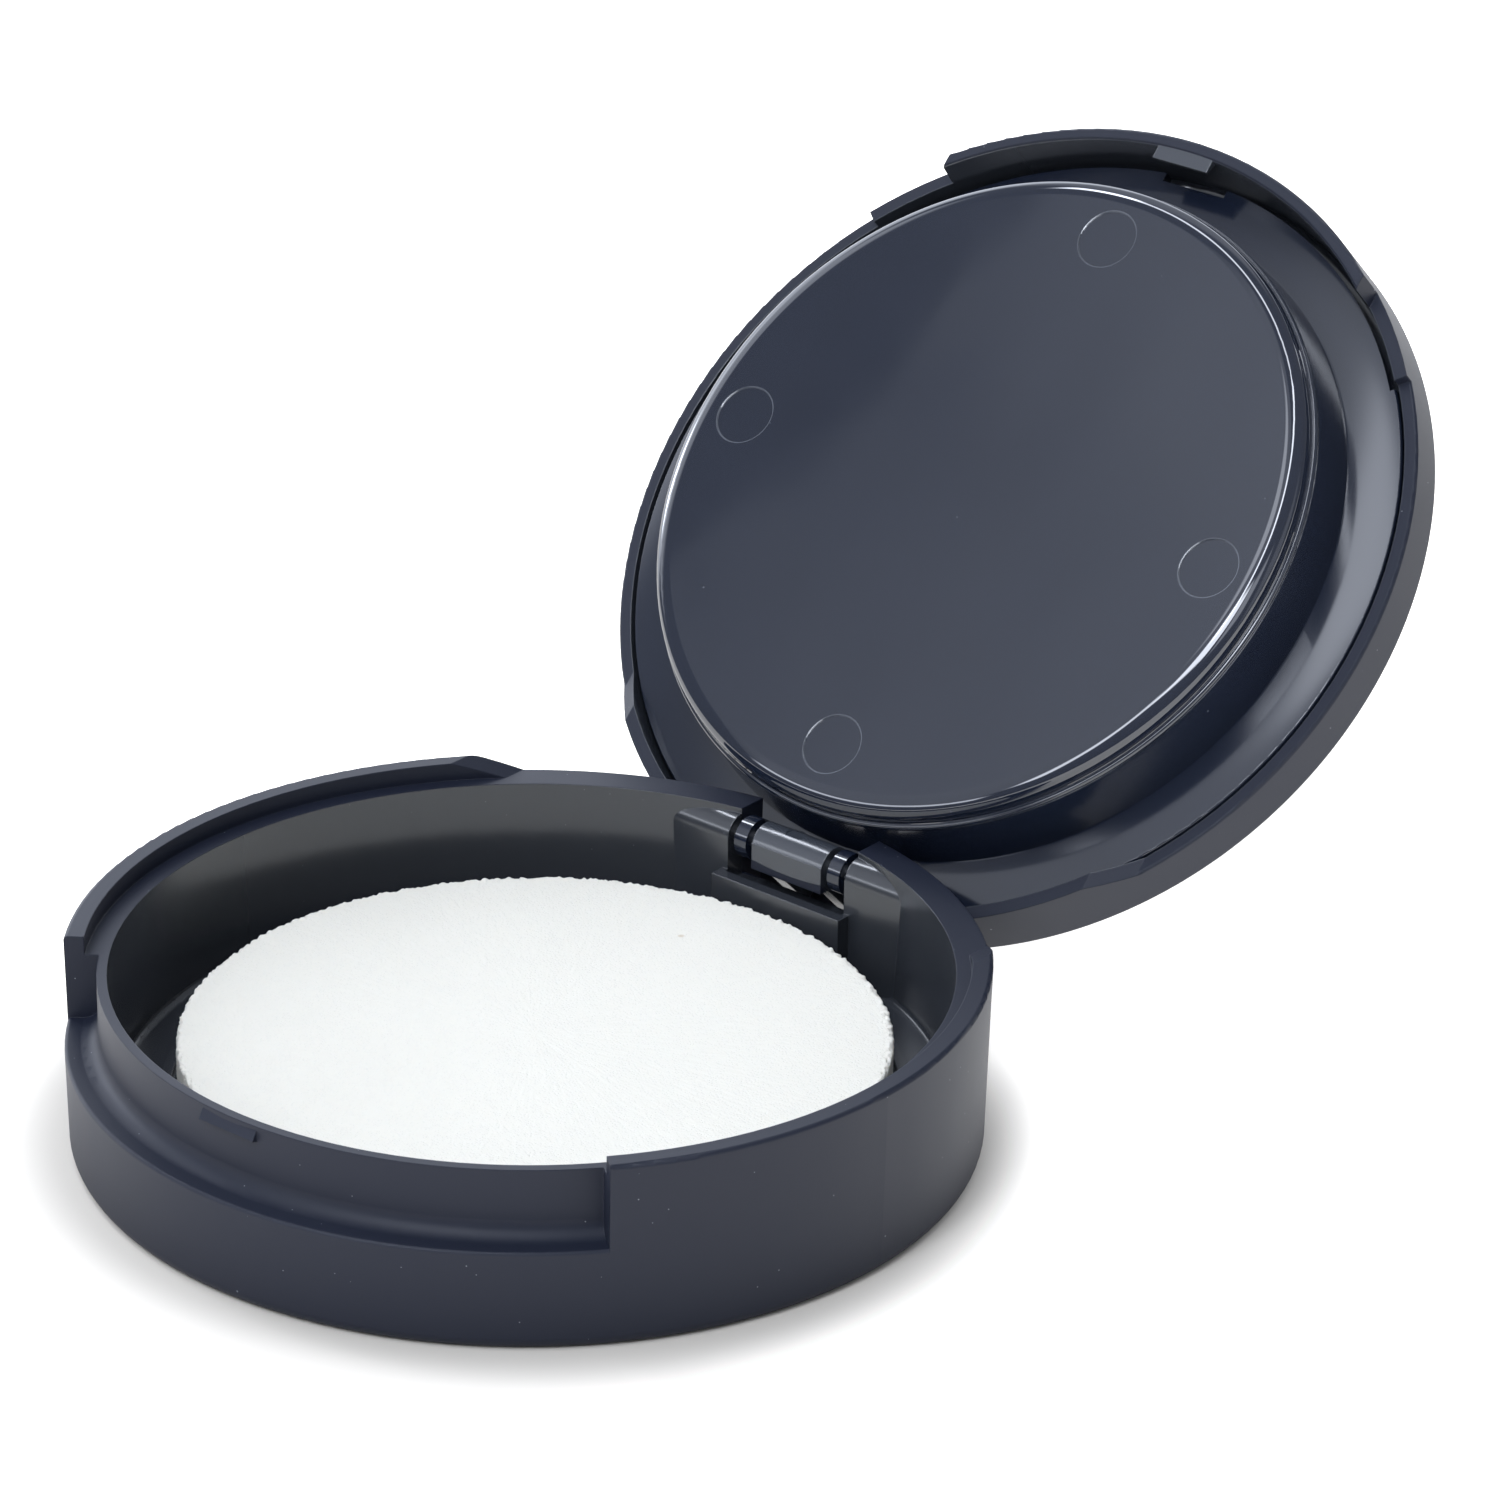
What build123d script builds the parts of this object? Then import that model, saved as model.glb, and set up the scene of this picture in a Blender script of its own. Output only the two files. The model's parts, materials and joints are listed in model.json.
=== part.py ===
from build123d import *
import os
from math import cos, radians, sin

# A round powder compact: a base tub that holds a sponge, a tray that holds the powder pan, and a
# lid that holds the mirror. Base, tray and lid turn on one pin. The pieces are drawn closed, with
# the compact standing on z = 0, its latch towards -Y and its hinge towards +Y. The tray and the
# lid are then swung open together about the pin, which is how the compact rests.

os.makedirs("parts", exist_ok=True)

# Round outline, shared by the base and the lid
OUTER_R = 40.0
CENTRE_LINE = Axis.Z

# Hinge
HINGE_Y, HINGE_Z = 36.5, 12.8
OPEN_ANGLE = 135.5  # from closed to the rest pose
LID_STOP_ANGLE = 140.5  # where the lid's rear edge meets the back of the base
PIN_R = 0.8
PIN_HALF = 10.6
RUNNING_GAP = 0.05  # radial, between the pin and what turns on it
BARREL_R = 1.95
KNUCKLE_HALF = 4.05  # half length of the lid's middle knuckle
FLAT_TOP = 0.6  # the knuckle's flat front begins this far above the pin
RING_IN, RING_OUT = 4.75, 6.1  # the tray's two rings, along X
NOTCH_HALF = 6.8  # half width of the notch in the base's back wall
LUG_R = 2.0
BLOCK_HALF, BLOCK_BACK, BLOCK_OUTER_R = 14.0, 1.0, 38.8  # the block that carries the lugs
KNUCKLE_MARK_R, KNUCKLE_MARK_DEPTH = 1.0, 0.1  # ejector pin mark, on top of the knuckle at rest

# Base
FOOT_R = 39.6
FLOOR_Z = 3.0
RIM_Z = 17.0  # top of the thin outer rim
SHELF_Z = 15.3  # shelf inside the rim, lip at the front and low wall at the back
RIM_IN_R = 38.2
WELL_R = 36.5
WELL_SHIFT = 0.6  # the well sits this far towards the hinge
LIP_T = 0.85
STEP_Z = 9.2  # floor of the finger cut-out at the front
CUT_OUT_HALF_DEG = 51.6
STEP_FILLET, STEP_EDGE_R = 1.5, 0.3  # at the foot of the lip, and along the step's outer edge
LOW_BACK_HALF, LOW_BACK_TOP_HALF = 27.0, 30.3  # half widths of the low back wall, below and above
FENCE_Y, FENCE_T, FENCE_Z = 33.0, 1.2, 9.9
FENCE_HALF = 7.4
POCKET_Z = 8.8  # floor of the hinge pocket behind the fence

# Sponge
SPONGE_R = 31.0
SPONGE_SHIFT = 1.0
SPONGE_TOP = 8.5
RING_WALL_IN, RING_WALL_OUT, RING_WALL_Z = 31.6, 32.6, 3.6  # low ring that keeps it in place

# Tray
BOSS_Z = 9.0  # underside of the tray's well
BOSS_R = 32.3
TRAY_FLOOR_T = 1.0
FLANGE_Z, FLANGE_T = 17.15, 1.2
FLANGE_R, FLANGE_FRONT_R = 38.45, 37.9
FLANGE_STEP_DEG = 51.3
FLANGE_BACK_Y = 35.8  # the flange stops here, between the hinge rings and just beside them
FLANGE_BACK_HALF = 9.5
FLANGE_NOTCH_HALF, FLANGE_NOTCH_R = 3.5, 36.9  # lets the lid's latch nub past
MARK_R, MARK_RING_R, MARK_DEPTH = 2.9, 26.8, 0.12  # ejector pin marks

# Powder pan
PAN_R, PAN_WALL, PAN_H = 30.6, 0.35, 3.9
GLUE_T = 0.15
GLUE_R = 24.0
CAKE_T = 2.5

# Lid
LID_RIM_Z = 17.15
LID_TOP_Z = 21.95
LID_PLATE_T = 1.45
LID_WALL_IN_R = 38.75
MID_WALL_Z, MID_WALL_HALF_DEG = 16.2, 50.9
TALL_WALL_Z, TALL_WALL_HALF_DEG = 13.25, 36.5
TALL_WALL_FOOT_HALF_DEG = 37.6
BACK_SKIRT_GAP = 0.15
BACK_OPENING_HALF = 12.6
BACK_FLAT_Y = 39.0  # the lid's plate is cut straight here, behind the hinge
BACK_SKIRT_START = 14.0
ARM_IN, ARM_BACK, ARM_FRONT = 2.4, 1.95, -0.6

# Mirror
MIRROR_R, MIRROR_T = 33.0, 1.0
MIRROR_GLUE_R = 30.0

# Latch
NUB_HALF = 3.1
BASE_NUB_R, BASE_NUB_LOW, BASE_NUB_TIP, BASE_NUB_HIGH = 37.2, 13.85, 14.1, 14.9
LID_NUB_R, LID_NUB_HIGH = 37.4, 13.7

WELL_Y = WELL_SHIFT
TRAY_FLOOR_Z = BOSS_Z + TRAY_FLOOR_T
PAN_Z = TRAY_FLOOR_Z + GLUE_T
CAKE_Z = PAN_Z + PAN_WALL
PLATE_Z = LID_TOP_Z - LID_PLATE_T
MIRROR_Z = PLATE_Z - GLUE_T - MIRROR_T
FAR = 50.0  # past the outside of every piece

SWUNG_OPEN = (
    Location((0, HINGE_Y, HINGE_Z))
    * Location((0, 0, 0), (-OPEN_ANGLE, 0, 0))
    * Location((0, -HINGE_Y, -HINGE_Z))
)


def polar(radius, degrees):
    """A point at this radius, at an angle from the latch direction, positive towards +X."""
    return radius * sin(radians(degrees)), -radius * cos(radians(degrees))


def closed_place(back, up):
    """Where a point sits in the closed drawing, along Y and Z, from its place beside the pin at rest."""
    turn = radians(OPEN_ANGLE)
    return HINGE_Y + back * cos(turn) - up * sin(turn), HINGE_Z + back * sin(turn) + up * cos(turn)


def near(sketch, x, y):
    """The corner of a sketch nearest to a point of its own plane."""
    return sketch.vertices().sort_by_distance((x, y, 0))[0]


def wedge(half_degrees):
    """A sector about the latch direction that runs past the outside."""
    return Polygon((0, 0), polar(FAR, -half_degrees), (0, -1.6 * FAR), polar(FAR, half_degrees), align=None)


def tapered_wall(low_half, high_half, low_z, high_z):
    """A trapezium in a plane along X and Z, narrower or wider at its top."""
    corners = (-low_half, low_z), (low_half, low_z), (high_half, high_z), (-high_half, high_z)
    return Polygon(*corners, align=None)


# ---------------------------------------------------------------- base
# straight block across the back of the well, that carries the lugs, joined to the base further down
with BuildPart() as hinge_block:
    with BuildSketch(Plane.YZ.offset(-BLOCK_HALF)):
        with BuildLine():
            Line((HINGE_Y, HINGE_Z + LUG_R), (HINGE_Y + BLOCK_BACK, HINGE_Z + LUG_R))
            Line((HINGE_Y + BLOCK_BACK, HINGE_Z + LUG_R), (HINGE_Y + BLOCK_BACK, FLOOR_Z - 0.5))
            Line((HINGE_Y + BLOCK_BACK, FLOOR_Z - 0.5), (HINGE_Y - LUG_R, FLOOR_Z - 0.5))
            Line((HINGE_Y - LUG_R, FLOOR_Z - 0.5), (HINGE_Y - LUG_R, HINGE_Z))
            CenterArc((HINGE_Y, HINGE_Z), LUG_R, 180, -90)
        make_face()
    extrude(amount=2 * BLOCK_HALF)
    with BuildSketch():
        Circle(BLOCK_OUTER_R)
    extrude(amount=FAR, mode=Mode.INTERSECT)

with BuildPart() as base_shell:
    with BuildSketch(Plane.XZ) as outline:
        with BuildLine():
            Polyline((0, 0), (FOOT_R, 0), (OUTER_R, RIM_Z), (0, RIM_Z), close=True)
        make_face()
        fillet(near(outline, FOOT_R, 0), 1.1)
        fillet(near(outline, OUTER_R, RIM_Z), 0.35)
    revolve(axis=CENTRE_LINE)

    # well for the sponge, a little nearer to the hinge than to the latch
    with BuildSketch(Plane.XY.offset(RIM_Z)):
        with Locations((0, WELL_Y)):
            Circle(WELL_R)
    extrude(amount=FLOOR_Z - RIM_Z, taper=1.2, mode=Mode.SUBTRACT)
    well_floor = base_shell.faces().filter_by(Axis.Z).sort_by_distance((0, 0, FLOOR_Z))[0]
    fillet(well_floor.edges(), 0.8)

    # shelf inside the thin rim
    with BuildSketch(Plane.XY.offset(SHELF_Z)):
        Circle(RIM_IN_R)
    extrude(amount=FAR, mode=Mode.SUBTRACT)

    # finger cut-out at the front, which leaves the well's wall standing as a lip
    with BuildSketch(Plane.XY.offset(STEP_Z)):
        wedge(CUT_OUT_HALF_DEG)
        with Locations((0, WELL_Y)):
            Circle(WELL_R + LIP_T, mode=Mode.SUBTRACT)
    extrude(amount=FAR, mode=Mode.SUBTRACT)
    step_edges = base_shell.edges().filter_by(GeomType.CIRCLE).filter_by_position(
        Axis.Z, STEP_Z - 0.01, STEP_Z + 0.01
    )
    fillet(step_edges.sort_by(Edge.radius)[0], STEP_FILLET)
    fillet(step_edges.sort_by(Edge.radius)[-1], STEP_EDGE_R)

    # low back wall, with sloping ends
    with BuildSketch(Plane.XZ.offset(-HINGE_Y / 2)):
        tapered_wall(LOW_BACK_HALF, LOW_BACK_TOP_HALF + 0.5, SHELF_Z, RIM_Z + 0.24)
    extrude(amount=-FAR, mode=Mode.SUBTRACT)

    add(hinge_block.part)

    # fence in front of the hinge pocket
    with BuildSketch(Plane.XY.offset(FLOOR_Z - 0.5)):
        with Locations((0, FENCE_Y + FENCE_T)):
            Rectangle(2 * FENCE_HALF, 2 * FENCE_T)
    extrude(amount=FENCE_Z - FLOOR_Z + 0.5)

    # notch for the knuckles: a pocket behind the fence, open to the back along the lid's arms
    arm_run = (sin(radians(LID_STOP_ANGLE)), cos(radians(LID_STOP_ANGLE)))
    arm_side = (cos(radians(LID_STOP_ANGLE)), -sin(radians(LID_STOP_ANGLE)))
    slope_start = (HINGE_Y + 2.25 * arm_side[0], HINGE_Z + 2.25 * arm_side[1])
    to_pocket = (POCKET_Z - slope_start[1]) / arm_run[1]
    to_outside = (FAR - 8 - slope_start[0]) / arm_run[0]
    with BuildSketch(Plane.YZ):
        with BuildLine():
            Polyline(
                (FENCE_Y + FENCE_T, RIM_Z + 1),
                (FENCE_Y + FENCE_T, POCKET_Z),
                (slope_start[0] + to_pocket * arm_run[0], POCKET_Z),
                (slope_start[0] + to_outside * arm_run[0], slope_start[1] + to_outside * arm_run[1]),
                (FAR - 8, RIM_Z + 1),
                close=True,
            )
        make_face()
    extrude(amount=NOTCH_HALF, both=True, mode=Mode.SUBTRACT)

    # the part of the fence block behind the fence goes, down to the pocket's floor
    with BuildSketch(Plane.XY.offset(POCKET_Z)):
        with Locations((0, FENCE_Y + FENCE_T + 0.6)):
            Rectangle(2 * NOTCH_HALF, 1.2)
    extrude(amount=FAR, mode=Mode.SUBTRACT)

    # pin hole: blind at -X, through at +X, where the pin goes in
    with BuildSketch(Plane.YZ.offset(-PIN_HALF)):
        with Locations((HINGE_Y, HINGE_Z)):
            Circle(PIN_R)
    extrude(amount=PIN_HALF + 14.5, mode=Mode.SUBTRACT)

    # low ring round the sponge
    with BuildSketch(Plane.XY.offset(FLOOR_Z - 0.5)):
        with Locations((0, SPONGE_SHIFT)):
            Circle(RING_WALL_OUT)
            Circle(RING_WALL_IN, mode=Mode.SUBTRACT)
        with Locations((0, FENCE_Y + 2 * FENCE_T)):
            Rectangle(4 * FENCE_HALF, 4 * FENCE_T, mode=Mode.SUBTRACT)
    extrude(amount=RING_WALL_Z - FLOOR_Z + 0.5)

    # latch nub on the front of the lip, with its core slot in the step below
    lip_front = WELL_R + LIP_T - WELL_SHIFT
    with BuildSketch(Plane.YZ.offset(-NUB_HALF)):
        with BuildLine():
            Polyline(
                (-lip_front + 0.4, BASE_NUB_HIGH + 0.1),
                (-lip_front + 0.05, BASE_NUB_HIGH),
                (-BASE_NUB_R, BASE_NUB_TIP),
                (-lip_front + 0.4, BASE_NUB_LOW),
                close=True,
            )
        make_face()
    extrude(amount=2 * NUB_HALF)
    with BuildSketch(Plane.XY.offset(STEP_Z)):
        with Locations((0, -lip_front - 0.45)):
            SlotOverall(5.2, 0.9)
    extrude(amount=-1.6, mode=Mode.SUBTRACT)

with BuildPart() as sponge:
    with BuildSketch(Plane.XY.offset(FLOOR_Z)):
        with Locations((0, SPONGE_SHIFT)):
            Circle(SPONGE_R)
    extrude(amount=SPONGE_TOP - FLOOR_Z)

with BuildPart() as hinge_pin:
    with BuildSketch(Plane.YZ.offset(-PIN_HALF)):
        with Locations((HINGE_Y, HINGE_Z)):
            Circle(PIN_R)
    extrude(amount=2 * PIN_HALF)
    chamfer(hinge_pin.edges().filter_by(GeomType.CIRCLE), 0.15)

# ---------------------------------------------------------------- tray
with BuildPart() as tray:
    with BuildSketch(Plane.XZ) as section:
        with BuildLine():
            Polyline(
                (0, BOSS_Z),
                (BOSS_R, BOSS_Z),
                (BOSS_R + 0.05, BOSS_Z + 1.9),
                (BOSS_R + 0.5, BOSS_Z + 2.2),
                (BOSS_R + 1.0, FLANGE_Z),
                (FLANGE_R, FLANGE_Z),
                (FLANGE_R, FLANGE_Z + FLANGE_T),
                (BOSS_R + 0.1, FLANGE_Z + FLANGE_T),
                (BOSS_R - 1.1, TRAY_FLOOR_Z),
                (0, TRAY_FLOOR_Z),
                close=True,
            )
        make_face()
        fillet(near(section, BOSS_R, BOSS_Z), 1.2)
        fillet(near(section, BOSS_R + 0.5, BOSS_Z + 2.2), 0.3)
        fillet(near(section, FLANGE_R, FLANGE_Z), 0.35)
        fillet(near(section, BOSS_R + 0.1, FLANGE_Z + FLANGE_T), 0.4)
    revolve(axis=CENTRE_LINE)

    # the flange is narrower where the lid's front wall stands
    with BuildSketch(Plane.XY.offset(FLANGE_Z - 0.5)):
        wedge(FLANGE_STEP_DEG)
        Circle(FLANGE_FRONT_R, mode=Mode.SUBTRACT)
    extrude(amount=FLANGE_T + 1, mode=Mode.SUBTRACT)

    # notch in the flange's front edge
    with BuildSketch(Plane.XY.offset(FLANGE_Z - 0.5)):
        with Locations((0, -FLANGE_NOTCH_R - 2)):
            Rectangle(2 * FLANGE_NOTCH_HALF, 4)
    extrude(amount=FLANGE_T + 1, mode=Mode.SUBTRACT)

    # the flange stops short of the hinge
    with BuildSketch(Plane.XY.offset(FLANGE_Z - 0.5)):
        with Locations((0, FLANGE_BACK_Y + 5)):
            Rectangle(2 * FLANGE_BACK_HALF, 10)
    extrude(amount=FLANGE_T + 1, mode=Mode.SUBTRACT)

    # two rings on short arms
    with BuildSketch(Plane.YZ.offset(RING_IN)) as ring_side:
        with BuildLine():
            Polyline(
                (HINGE_Y - BARREL_R, HINGE_Z),
                (HINGE_Y - BARREL_R, FLANGE_Z + FLANGE_T),
                (HINGE_Y + 0.8, FLANGE_Z + FLANGE_T),
                (HINGE_Y + BARREL_R, HINGE_Z),
                close=True,
            )
        make_face()
        with Locations((HINGE_Y, HINGE_Z)):
            Circle(BARREL_R)
            Circle(PIN_R + RUNNING_GAP, mode=Mode.SUBTRACT)
    extrude(amount=RING_OUT - RING_IN)
    extrude(ring_side.sketch.mirror(Plane.YZ), amount=RING_OUT - RING_IN)

    # ejector pin marks on the underside
    with BuildSketch(Plane.XY.offset(BOSS_Z)):
        with PolarLocations(MARK_RING_R, 4):
            Circle(MARK_R)
    extrude(amount=MARK_DEPTH, mode=Mode.SUBTRACT)

with BuildPart() as pan_adhesive:
    with BuildSketch(Plane.XY.offset(TRAY_FLOOR_Z)):
        Circle(GLUE_R)
    extrude(amount=GLUE_T)

with BuildPart() as powder_pan:
    with BuildSketch(Plane.XZ) as pan_section:
        with BuildLine():
            Polyline(
                (0, PAN_Z),
                (PAN_R, PAN_Z),
                (PAN_R, PAN_Z + PAN_H),
                (PAN_R - PAN_WALL, PAN_Z + PAN_H),
                (PAN_R - PAN_WALL, CAKE_Z),
                (0, CAKE_Z),
                close=True,
            )
        make_face()
        fillet(near(pan_section, PAN_R, PAN_Z), 0.6)
        fillet(near(pan_section, PAN_R - PAN_WALL, CAKE_Z), 0.25)
    revolve(axis=CENTRE_LINE)

with BuildPart() as powder_cake:
    with BuildSketch(Plane.XZ) as cake_section:
        with BuildLine():
            Polyline(
                (0, CAKE_Z),
                (PAN_R - PAN_WALL, CAKE_Z),
                (PAN_R - PAN_WALL, CAKE_Z + CAKE_T - 0.5),
                (PAN_R - PAN_WALL - 1.5, CAKE_Z + CAKE_T),
                (0, CAKE_Z + CAKE_T),
                close=True,
            )
        make_face()
        fillet(near(cake_section, PAN_R - PAN_WALL, CAKE_Z), 0.25)
        fillet(near(cake_section, PAN_R - PAN_WALL - 1.5, CAKE_Z + CAKE_T), 1.5)
    revolve(axis=CENTRE_LINE)

# ---------------------------------------------------------------- lid
# the tall middle of the front wall, joined to the lid further down
with BuildPart() as tall_wall:
    with BuildSketch(Plane.XZ) as wall_section:
        with BuildLine():
            Polyline(
                (LID_WALL_IN_R, TALL_WALL_Z),
                (OUTER_R, TALL_WALL_Z),
                (OUTER_R, PLATE_Z),
                (LID_WALL_IN_R, PLATE_Z),
                close=True,
            )
        make_face()
        chamfer(near(wall_section, LID_WALL_IN_R, TALL_WALL_Z), 0.2)
        fillet(near(wall_section, OUTER_R, TALL_WALL_Z), 0.3)
    revolve(axis=CENTRE_LINE)
    with BuildSketch(Plane.XZ):
        tapered_wall(
            polar(OUTER_R, TALL_WALL_HALF_DEG)[0],
            polar(OUTER_R, TALL_WALL_FOOT_HALF_DEG)[0],
            TALL_WALL_Z - 0.01,
            PLATE_Z + 0.01,
        )
    extrude(amount=FAR, mode=Mode.INTERSECT)

# the back skirts that drop to the base's low back wall, joined to the lid further down
with BuildPart() as back_skirts:
    with BuildSketch(Plane.XY.offset(SHELF_Z + BACK_SKIRT_GAP)):
        Circle(OUTER_R)
        Circle(LID_WALL_IN_R, mode=Mode.SUBTRACT)
    extrude(amount=PLATE_Z - SHELF_Z - BACK_SKIRT_GAP)
    with BuildSketch(Plane.XZ.offset(-HINGE_Y / 2)):
        with BuildLine():
            Polyline(
                (BACK_SKIRT_START, SHELF_Z + BACK_SKIRT_GAP - 0.01),
                (LOW_BACK_HALF - 0.3, SHELF_Z + BACK_SKIRT_GAP - 0.01),
                (LOW_BACK_TOP_HALF + 0.2, LID_RIM_Z + 0.3),
                (LOW_BACK_TOP_HALF + 0.2, PLATE_Z + 0.01),
                (BACK_SKIRT_START, PLATE_Z + 0.01),
                close=True,
            )
        make_face()
        mirror(about=Plane.YZ)
    extrude(amount=-FAR, mode=Mode.INTERSECT)

with BuildPart() as lid_shell:
    with BuildSketch(Plane.XZ) as lid_section:
        with BuildLine():
            Polyline(
                (0, LID_TOP_Z),
                (OUTER_R, LID_TOP_Z),
                (OUTER_R, LID_RIM_Z),
                (LID_WALL_IN_R, LID_RIM_Z),
                (LID_WALL_IN_R, PLATE_Z),
                (0, PLATE_Z),
                close=True,
            )
        make_face()
        fillet(near(lid_section, OUTER_R, LID_TOP_Z), 0.6)
        fillet(near(lid_section, OUTER_R, LID_RIM_Z), 0.25)
        fillet(near(lid_section, LID_WALL_IN_R, PLATE_Z), 0.5)
    revolve(axis=CENTRE_LINE)

    # front wall: a low step, and a tall middle that reaches into the finger cut-out
    with BuildSketch(Plane.XY.offset(MID_WALL_Z)):
        wedge(MID_WALL_HALF_DEG)
        Circle(LID_WALL_IN_R, mode=Mode.SUBTRACT)
        Circle(OUTER_R, mode=Mode.INTERSECT)
    extrude(amount=PLATE_Z - MID_WALL_Z)
    add(tall_wall.part)
    add(back_skirts.part)

    # opening in the back wall, round the hinge
    with BuildSketch(Plane.XZ.offset(-HINGE_Y)):
        with Locations((0, LID_RIM_Z + 2.2)):
            Rectangle(2 * BACK_OPENING_HALF, 4.6)
    extrude(amount=-FAR, mode=Mode.SUBTRACT)
    with BuildSketch(Plane.XY.offset(LID_RIM_Z - 1)):
        with Locations((0, BACK_FLAT_Y + 2)):
            Rectangle(2 * BACK_OPENING_HALF, 4)
    extrude(amount=FAR, mode=Mode.SUBTRACT)

    # two arms down to the middle knuckle
    with BuildSketch(Plane.YZ.offset(ARM_IN)) as arm_side_view:
        with BuildLine():
            Polyline(
                (HINGE_Y + ARM_FRONT, HINGE_Z),
                (HINGE_Y + ARM_FRONT, PLATE_Z + 0.2),
                (HINGE_Y + ARM_BACK, PLATE_Z + 0.2),
                (HINGE_Y + ARM_BACK, HINGE_Z),
                close=True,
            )
        make_face()
    extrude(amount=KNUCKLE_HALF - ARM_IN)
    extrude(arm_side_view.sketch.mirror(Plane.YZ), amount=KNUCKLE_HALF - ARM_IN)
    with BuildSketch(Plane.YZ):
        with Locations((HINGE_Y, HINGE_Z)):
            Circle(BARREL_R)
    extrude(amount=KNUCKLE_HALF, both=True)

    # flat front on the knuckle, upright at rest
    with BuildSketch(Plane.YZ):
        Polygon(
            closed_place(-BARREL_R, FLAT_TOP),
            closed_place(-BARREL_R, -BARREL_R),
            closed_place(0, -BARREL_R),
            closed_place(0, FLAT_TOP),
            align=None,
        )
    extrude(amount=KNUCKLE_HALF, both=True)
    with BuildSketch(Plane.YZ):
        with Locations((HINGE_Y, HINGE_Z)):
            Circle(PIN_R + RUNNING_GAP)
    extrude(amount=KNUCKLE_HALF, both=True, mode=Mode.SUBTRACT)

    # round mark on the knuckle, sunk along the direction that is upright at rest
    mark_floor = closed_place(0, BARREL_R - KNUCKLE_MARK_DEPTH)
    upright = (0, mark_floor[0] - HINGE_Y, mark_floor[1] - HINGE_Z)
    with BuildSketch(Plane(origin=(0, *mark_floor), x_dir=(1, 0, 0), z_dir=upright)):
        with Locations((-0.4, 0)):
            Circle(KNUCKLE_MARK_R)
    extrude(amount=1, mode=Mode.SUBTRACT)

    # latch nub inside the tall wall
    with BuildSketch(Plane.YZ.offset(-NUB_HALF)):
        with BuildLine():
            Polyline(
                (-LID_WALL_IN_R - 0.4, TALL_WALL_Z + 0.1),
                (-LID_NUB_R, TALL_WALL_Z + 0.15),
                (-LID_NUB_R, LID_NUB_HIGH),
                (-LID_WALL_IN_R - 0.4, LID_NUB_HIGH + 0.6),
                close=True,
            )
        make_face()
    extrude(amount=2 * NUB_HALF)

with BuildPart() as mirror_glass:
    with BuildSketch(Plane.XY.offset(MIRROR_Z)):
        Circle(MIRROR_R)
    extrude(amount=MIRROR_T)
    chamfer(mirror_glass.edges().group_by(Axis.Z)[0], 0.3)

with BuildPart() as mirror_adhesive:
    with BuildSketch(Plane.XY.offset(MIRROR_Z + MIRROR_T)):
        Circle(MIRROR_GLUE_R)
    extrude(amount=GLUE_T)

# ---------------------------------------------------------------- labels, rest pose and files
base_shell.part.label = "base_shell"
sponge.part.label = "sponge"
hinge_pin.part.label = "hinge_pin"
tray.part.label = "tray"
pan_adhesive.part.label = "pan_adhesive"
powder_pan.part.label = "powder_pan"
powder_cake.part.label = "powder_cake"
lid_shell.part.label = "lid_shell"
mirror_glass.part.label = "mirror_glass"
mirror_adhesive.part.label = "mirror_adhesive"

for swung in (tray, pan_adhesive, powder_pan, powder_cake, lid_shell, mirror_glass, mirror_adhesive):
    swung.part.move(SWUNG_OPEN)

export_step(base_shell.part, "parts/base_shell.step")
export_step(sponge.part, "parts/sponge.step")
export_step(hinge_pin.part, "parts/hinge_pin.step")
export_step(tray.part, "parts/tray.step")
export_step(pan_adhesive.part, "parts/pan_adhesive.step")
export_step(powder_pan.part, "parts/powder_pan.step")
export_step(powder_cake.part, "parts/powder_cake.step")
export_step(lid_shell.part, "parts/lid_shell.step")
export_step(mirror_glass.part, "parts/mirror_glass.step")
export_step(mirror_adhesive.part, "parts/mirror_adhesive.step")
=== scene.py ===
import json
from math import cos, pi, radians, sin

import bpy
from mathutils import Matrix, Vector, noise


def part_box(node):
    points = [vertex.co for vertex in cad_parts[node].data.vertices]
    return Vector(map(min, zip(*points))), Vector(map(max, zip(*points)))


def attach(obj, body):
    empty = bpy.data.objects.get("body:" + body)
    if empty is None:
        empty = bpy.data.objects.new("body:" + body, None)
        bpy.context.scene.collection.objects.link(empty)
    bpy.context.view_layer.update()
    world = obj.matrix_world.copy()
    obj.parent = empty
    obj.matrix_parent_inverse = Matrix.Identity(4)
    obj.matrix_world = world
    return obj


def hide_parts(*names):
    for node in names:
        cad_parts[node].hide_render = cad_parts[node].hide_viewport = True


# The looks of a round powder compact that stands open, with its sponge in the base. Metres
# throughout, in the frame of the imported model: the latch towards -Y, the hinge towards +Y.

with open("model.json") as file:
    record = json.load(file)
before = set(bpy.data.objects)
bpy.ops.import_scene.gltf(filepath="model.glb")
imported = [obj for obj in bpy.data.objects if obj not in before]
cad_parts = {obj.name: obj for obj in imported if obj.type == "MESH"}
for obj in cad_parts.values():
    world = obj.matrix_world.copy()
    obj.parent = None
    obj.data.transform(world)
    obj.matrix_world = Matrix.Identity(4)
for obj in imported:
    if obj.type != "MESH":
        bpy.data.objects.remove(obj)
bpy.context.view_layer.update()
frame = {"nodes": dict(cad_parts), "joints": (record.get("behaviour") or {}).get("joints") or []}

MM = 0.001
tray_hinge = next(joint for joint in frame["joints"] if joint["name"] == "tray_hinge")
HINGE = Vector(tray_hinge["pos_m"])
CLOSING_ANGLE = radians(tray_hinge["range_deg"][1])


def direction(azimuth, elevation):
    """A unit vector. The azimuth, in degrees, counts from the latch side towards +X."""
    turn, lift = radians(azimuth), radians(elevation)
    return Vector((sin(turn) * cos(lift), -cos(turn) * cos(lift), sin(lift)))


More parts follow.
